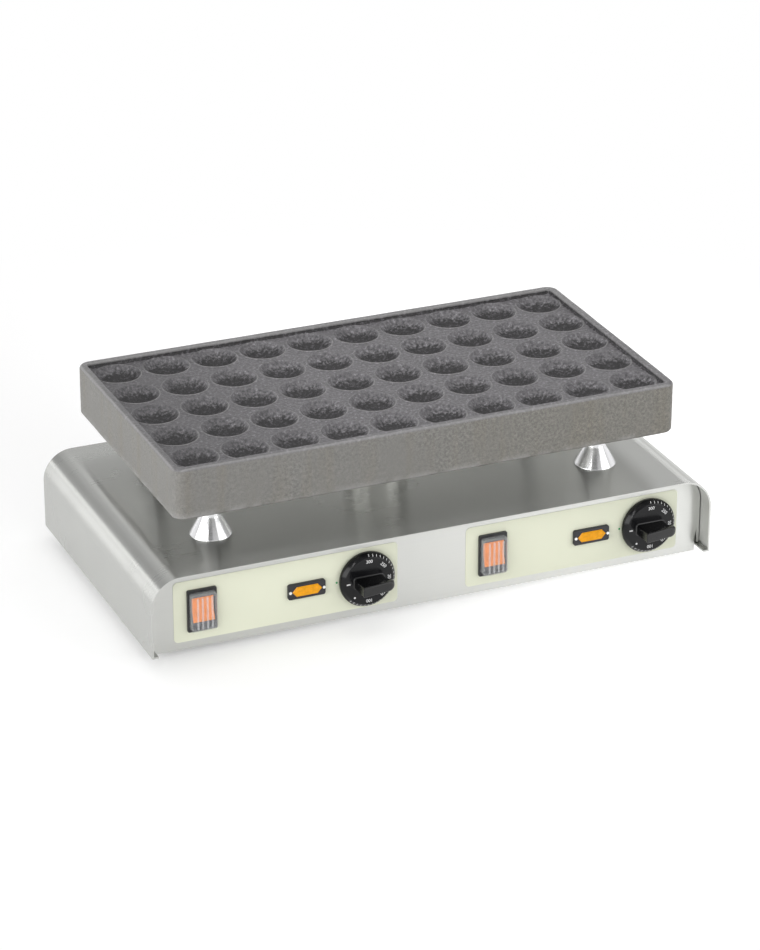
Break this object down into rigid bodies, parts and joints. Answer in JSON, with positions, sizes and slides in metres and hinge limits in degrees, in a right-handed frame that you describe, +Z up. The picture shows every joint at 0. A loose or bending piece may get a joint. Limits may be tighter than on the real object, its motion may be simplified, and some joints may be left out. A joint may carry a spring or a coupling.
{
  "type": "pancake griddle",
  "caption": "Tabletop electric griddle with a cast-iron plate of small round hollows on four posts above a bent stainless housing with rocker switches, pilot lamps and dial thermostats.",
  "frame": {"origin": "on the floor, under the middle of the housing, at the level of the feet", "axes": "+Z up, -Y towards the control panel, +X to the right as seen from the front"},
  "size_m": [0.52, 0.3038, 0.1705],
  "materials": {
    "cover_steel": "brushed stainless, satin",
    "panel_steel": "brushed stainless, satin",
    "pan_steel": "galvanised, dull",
    "foot_rubber": "matt",
    "zinc_fastener": "zinc plated",
    "label_film": "satin film",
    "switch_plastic": "semi-gloss",
    "rocker_plastic": "semi-gloss",
    "rocker_lens_plastic": "translucent",
    "clear_boot": "clear, glossy",
    "tab_brass": "bright",
    "lamp_plastic": "semi-gloss",
    "lamp_amber": "translucent",
    "rivet_metal": "bright",
    "thermostat_metal": "zinc plated",
    "spindle_steel": "turned",
    "knob_plastic": "glossy with white printed dial",
    "capillary_metal": "drawn copper alloy",
    "block_plastic": "matt",
    "gland_plastic": "matt",
    "tube_steel": "polished stainless",
    "post_steel": "turned and polished",
    "plate_iron": "raw cast iron, lightly seasoned",
    "element_sheath": "heat-darkened",
    "bar_steel": "mill finish",
    "insulation_wool": "fibrous",
    "shield_steel": "aluminised sheet",
    "lead_sleeve": "woven glass sleeve"
  },
  "bodies": {
    "base": {"top_cover": "cover_steel", "front_panel": "panel_steel", "back_panel": "panel_steel", "bottom_pan": "pan_steel", "feet": "foot_rubber", "foot_screws": "zinc_fastener", "foot_nuts": "zinc_fastener", "panel_screws": "zinc_fastener", "panel_nuts": "zinc_fastener", "cover_studs": "zinc_fastener", "cover_nuts": "zinc_fastener", "left_label": "label_film", "right_label": "label_film", "left_switch_body": "switch_plastic", "right_switch_body": "switch_plastic", "left_boot": "clear_boot", "right_boot": "clear_boot", "switch_terminals": "tab_brass", "left_lamp_body": "lamp_plastic", "right_lamp_body": "lamp_plastic", "left_lamp_lens": "lamp_amber", "right_lamp_lens": "lamp_amber", "lamp_rivets": "rivet_metal", "left_thermostat": "thermostat_metal", "right_thermostat": "thermostat_metal", "thermostat_screws": "zinc_fastener", "left_sensor": "capillary_metal", "right_sensor": "capillary_metal", "terminal_block": "block_plastic", "terminal_clamps": "tab_brass", "earth_stud": "tab_brass", "cable_gland": "gland_plastic", "gland_locknut": "gland_plastic", "wiring_tube": "tube_steel", "posts": "post_steel", "post_bolts": "zinc_fastener", "post_washers": "zinc_fastener", "baking_plate": "plate_iron", "left_element": "element_sheath", "right_element": "element_sheath", "clamp_bars": "bar_steel", "clamp_screws": "zinc_fastener", "insulation_pad": "insulation_wool", "heat_shield": "shield_steel", "control_leads": "lead_sleeve", "heater_leads": "lead_sleeve"},
    "left_dial": {"left_knob": "knob_plastic", "left_spindle": "spindle_steel"},
    "right_dial": {"right_knob": "knob_plastic", "right_spindle": "spindle_steel"},
    "left_rocker_body": {"left_rocker": "rocker_plastic", "left_rocker_lens": "rocker_lens_plastic"},
    "right_rocker_body": {"right_rocker": "rocker_plastic", "right_rocker_lens": "rocker_lens_plastic"}
  },
  "joints": [
    {"name": "left_knob_turn", "type": "hinge", "parent": "base", "child": "left_dial", "pos_m": [-0.0612, -0.13, 0.041], "axis": [0, 1, 0], "range_deg": [0, 270]},
    {"name": "right_knob_turn", "type": "hinge", "parent": "base", "child": "right_dial", "pos_m": [0.2056, -0.13, 0.041], "axis": [0, 1, 0], "range_deg": [0, 270]},
    {"name": "left_rocker_tilt", "type": "hinge", "parent": "base", "child": "left_rocker_body", "pos_m": [-0.21, -0.122, 0.041], "axis": [1, 0, 0], "range_deg": [0, 18]},
    {"name": "right_rocker_tilt", "type": "hinge", "parent": "base", "child": "right_rocker_body", "pos_m": [0.0568, -0.122, 0.041], "axis": [1, 0, 0], "range_deg": [0, 18]}
  ]
}
